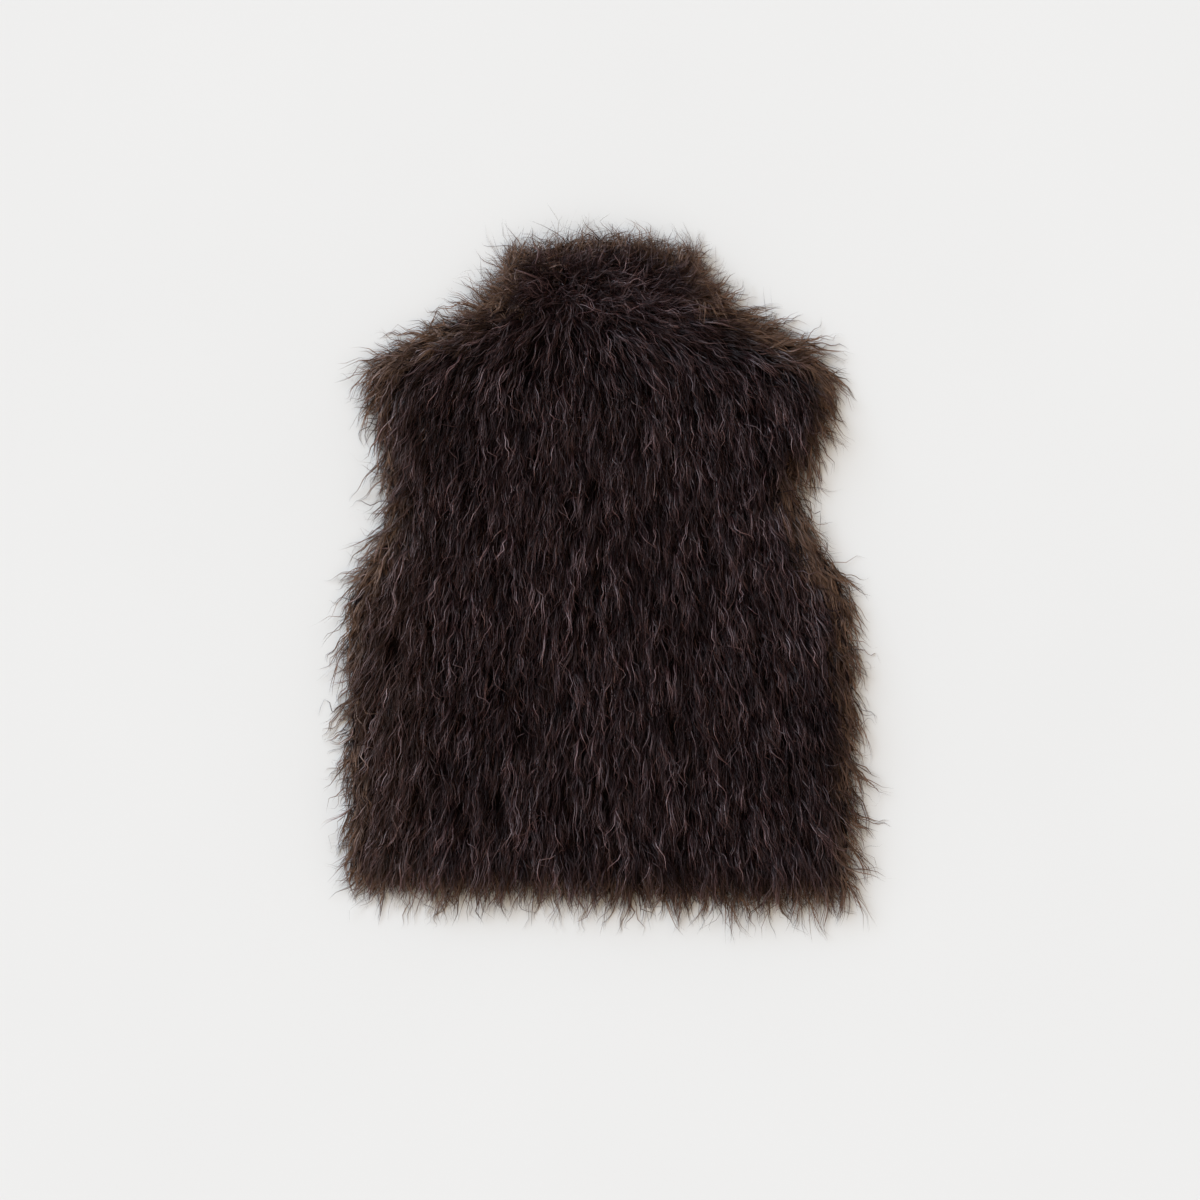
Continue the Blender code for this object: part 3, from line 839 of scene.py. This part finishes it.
# A pile's table gives the locks in a tuft and the fibres in a lock. Fibres are thinned where light shines
# through, stand by their lift, and tilt, splay, hang, sag and droop at an edge. Tangle is in degrees. Painted
# glow is how much warm painted light, for light through the tips, the edge fibres take on.
BACK_PILE = {
    "locks": 5,
    "fibres": 4,
    "steps": LOCK_STEPS,
    "width": 0.00090,
    "thinned": 0.12,
    "length": 0.054,
    "lift": 1.0,
    "tilt": 1.0,
    "sag": 1.0,
    "droop": 0.006,
    "splay": 0.30,
    "hang": 0.9,
    "wave": 0.0017,
    "curl": 0.004,
    "tangle": 6.0,
    "stray": 0.10,
    "painted_glow": 1.0,
}
LOOSE_PILE = {
    "locks": 1,
    "fibres": 2,
    "steps": LOOSE_STEPS,
    "width": 0.00070,
    "thinned": 0.0,
    "length": 0.055,
    "lift": 0.7,
    "tilt": 0.9,
    "sag": 1.0,
    "droop": 0.008,
    "splay": 0.36,
    "hang": 0.8,
    "wave": 0.0028,
    "curl": 0.009,
    "tangle": 9.0,
    "stray": 0.5,
    "painted_glow": 0.4,
}
SEAM_PILE = {**BACK_PILE, "locks": 6, "length": 0.040, "splay": 0.75, "hang": 0.0, "tangle": 10.0}
back_root, back_normal, back_along = roots_on(back_grid, TUFTS_ACROSS, TUFTS_ALONG, pile_rng)
back_parts = ["pile_back_hem", "pile_back_waist", "pile_back_chest", "pile_back_yoke"]
back_band = np.minimum((back_along * len(back_parts)).astype(int), len(back_parts) - 1)


def plant_back(name, here, pile):
    """Grows a piece of the back's pile from some of its roots."""
    return plant(name, "back_panel", back_root[here], back_normal[here], side_edges, pile)


back_pieces = [plant_back(name, back_band == band, BACK_PILE) for band, name in enumerate(back_parts)]
seam = near_edges(back_root, [left_shoulder, right_shoulder], SEAM_WITHIN, SEAM_TUFTS, pile_rng)
back_pieces.append(plant_back("pile_shoulder_seams", seam, SEAM_PILE))
loose = near_edges(back_root, side_edges, LOOSE_WITHIN, LOOSE_TUFTS, pile_rng)
back_pieces.append(plant_back("loose_hairs_back", loose, LOOSE_PILE))

# The two fronts are cut like the back but with a lower neck. They lie under it with the pile down,
# so their fibres are pressed flat on the table and show only where they stick out past the edges.
FRONT_GROUND_HEIGHT = 0.0072
FRONT_NECK_DROP = 0.048
FRONT_CREASE_SHARE = 0.4
CENTRE_FRONT_GAP = 0.001
FRONT_COLUMNS = 22
FRONT_TUFTS_ACROSS = 20
FRONT_TUFTS_ALONG = 48
FRONT_PILE = {
    "locks": 3,
    "fibres": 3,
    "steps": PRESSED_STEPS,
    "width": 0.0016,
    "thinned": 0.4,
    "length": 0.054,
    "lift": 0.10,
    "tilt": 0.4,
    "sag": -0.4,
    "droop": 0.002,
    "splay": 0.36,
    "hang": 0.8,
    "wave": 0.0022,
    "curl": 0.004,
    "tangle": 6.0,
    "stray": 0.10,
    "painted_glow": 1.0,
}


def front_neckline(neck_point, side, count):
    """A quarter ellipse from the centre front up to the neck point, as plan points."""
    turn = np.linspace(0, math.pi / 2, count + 1)
    start = side * CENTRE_FRONT_GAP / 2 - LAID_CENTRE[0]
    x = start + (neck_point[0] - start) * np.sin(turn)
    return np.column_stack([x, neck_point[1] - FRONT_NECK_DROP * np.cos(turn)])


for side, front_name in [(-1, "front_left"), (1, "front_right")]:
    front_side = body_left if side < 0 else body_right
    front_shoulder = left_shoulder if side < 0 else right_shoulder
    half = FRONT_COLUMNS // 2
    neckline = front_neckline(front_shoulder[-1], side, half)
    shoulder = smooth_line(front_shoulder[::-1], half)
    front_top = np.vstack([neckline, shoulder[1:]])
    hem_start = (neckline[0][0], back_hem[len(back_hem) // 2][1])
    hem_share = np.linspace(0, 1, FRONT_COLUMNS + 1)
    front_hem = np.outer(1 - hem_share, hem_start) + np.outer(hem_share, front_side[0])
    centre_line = bowed(hem_start, neckline[0], 0.0, CUT_ROWS)
    front_plan = cut_piece(front_hem, front_top, centre_line, front_side)
    if side < 0:
        front_plan = front_plan[:, ::-1]
    front_lift = FRONT_CREASE_SHARE * crease_height(front_plan * np.array([-1.0, 1.0]))
    front_height = FRONT_GROUND_HEIGHT + front_lift
    front_grid = np.dstack([front_plan, front_height])
    front_ground = cloth_shell("ground_" + front_name, front_grid, GROUND_THICKNESS, ground_cloth)
    stand_for(front_ground, front_name)
    front_edges = [front_side, front_shoulder, front_hem]
    front_root, front_normal, _ = roots_on(front_grid, FRONT_TUFTS_ACROSS, FRONT_TUFTS_ALONG, pile_rng)
    front_pile = plant("pile_" + front_name, front_name, front_root, -front_normal, front_edges, FRONT_PILE)

# The collar is one strip of the same pile fabric, sewn round the neck and standing when worn. Laid flat,
# its middle lies on top, it folds round both sides of the neck, and its two ends meet underneath.
COLLAR_SIDE = [
    {"height": 0.262, "left": 0.099, "right": 0.105},
    {"height": 0.282, "left": 0.084, "right": 0.089},
    {"height": 0.306, "left": 0.080, "right": 0.079},
]
COLLAR_TOP_RISE = 0.015
COLLAR_ROWS = 8
COLLAR_COLUMNS = 26
COLLAR_END_COLUMNS = 10
FOLD_STEPS = 3
CREST_LENGTH = 0.62
COLLAR_TUFTS_ACROSS = 32
COLLAR_TUFTS_ALONG = 11
COLLAR_END_TUFTS_ACROSS = 8
COLLAR_END_TUFTS_ALONG = 7
COLLAR_LOOSE_TUFTS = 170
COLLAR_PILE = {
    "locks": 5,
    "fibres": 4,
    "steps": LOCK_STEPS,
    "width": 0.00085,
    "thinned": 0.35,
    "length": 0.043,
    "lift": 1.1,
    "tilt": 0.7,
    "sag": 1.0,
    "droop": 0.006,
    "splay": 0.35,
    "hang": 0.0,
    "wave": 0.0026,
    "curl": 0.008,
    "tangle": 17.0,
    "stray": 0.30,
    "painted_glow": 1.0,
}
COLLAR_LOOSE_PILE = {
    **LOOSE_PILE,
    "width": 0.00080,
    "length": 0.041,
    "tangle": 20.0,
    "curl": 0.014,
    "hang": 0.0,
}
COLLAR_END_PILE = {**FRONT_PILE, "length": 0.040, "splay": 1.0, "hang": 0.0}

collar_left = smooth_line(cut_edge(COLLAR_SIDE, -1), COLLAR_ROWS)
collar_right = smooth_line(cut_edge(COLLAR_SIDE, 1), COLLAR_ROWS)
collar_seam = bowed(collar_left[0], collar_right[0], -NECK_DIP, COLLAR_COLUMNS)
collar_top = bowed(collar_left[-1], collar_right[-1], COLLAR_TOP_RISE, COLLAR_COLUMNS)
collar_middle = cut_piece(collar_seam, collar_top, collar_left, collar_right)
fold_radius = (BACK_GROUND_HEIGHT - FRONT_GROUND_HEIGHT) / 2
fold_turn = np.linspace(-math.pi / 2, math.pi / 2, FOLD_STEPS + 2)[1:-1]
collar_ends = {}
collar_folds = {}
for side, edge in [(-1, collar_left), (1, collar_right)]:
    low = front_neckline(edge[0], side, COLLAR_END_COLUMNS)
    centre_top = (low[0][0], collar_top[COLLAR_COLUMNS // 2][1] - FRONT_NECK_DROP)
    high = bowed(centre_top, edge[-1], 0.0, COLLAR_END_COLUMNS)
    end = cut_piece(low, high, bowed(low[0], high[0], 0.0, COLLAR_ROWS), edge)
    collar_ends[side] = np.dstack([end, np.full(end.shape[:2], FRONT_GROUND_HEIGHT)])
    fold = np.zeros((COLLAR_ROWS + 1, FOLD_STEPS, 3))
    fold[..., 0] = edge[:, :1] + side * fold_radius * np.cos(fold_turn)
    fold[..., 1] = edge[:, 1:]
    fold[..., 2] = FRONT_GROUND_HEIGHT + fold_radius * (1 + np.sin(fold_turn))
    collar_folds[side] = fold
collar_upper = np.dstack([collar_middle, np.full(collar_middle.shape[:2], BACK_GROUND_HEIGHT)])
upper_part = np.concatenate([collar_folds[-1], collar_upper, collar_folds[1][:, ::-1]], axis=1)
collar_grid = np.concatenate([collar_ends[-1], upper_part, collar_ends[1][:, ::-1]], axis=1)
collar_ground = cloth_shell("ground_collar", collar_grid, GROUND_THICKNESS, ground_cloth)
stand_for(collar_ground, "collar")
collar_edges = [collar_left, collar_top, collar_right]
upper_roots = roots_on(upper_part, COLLAR_TUFTS_ACROSS, COLLAR_TUFTS_ALONG, pile_rng)
upper_root, upper_normal, upper_along = upper_roots
crest_reach = 1 - (1 - CREST_LENGTH) * upper_along
collar_pieces = [
    plant("pile_collar", "collar", upper_root, upper_normal, collar_edges, COLLAR_PILE, crest_reach),
]
loose = near_edges(upper_root, collar_edges, LOOSE_WITHIN, COLLAR_LOOSE_TUFTS, pile_rng)
loose_root = upper_root[loose]
loose_normal = upper_normal[loose]
collar_pieces.append(
    plant("loose_hairs_collar", "collar", loose_root, loose_normal, collar_edges, COLLAR_LOOSE_PILE)
)
for side, name in [(-1, "pile_collar_end_left"), (1, "pile_collar_end_right")]:
    end_grid = collar_ends[side] if side > 0 else collar_ends[side][:, ::-1]
    end_root, end_normal, _ = roots_on(end_grid, COLLAR_END_TUFTS_ACROSS, COLLAR_END_TUFTS_ALONG, pile_rng)
    collar_pieces.append(plant(name, "collar", end_root, -end_normal, collar_edges, COLLAR_END_PILE))
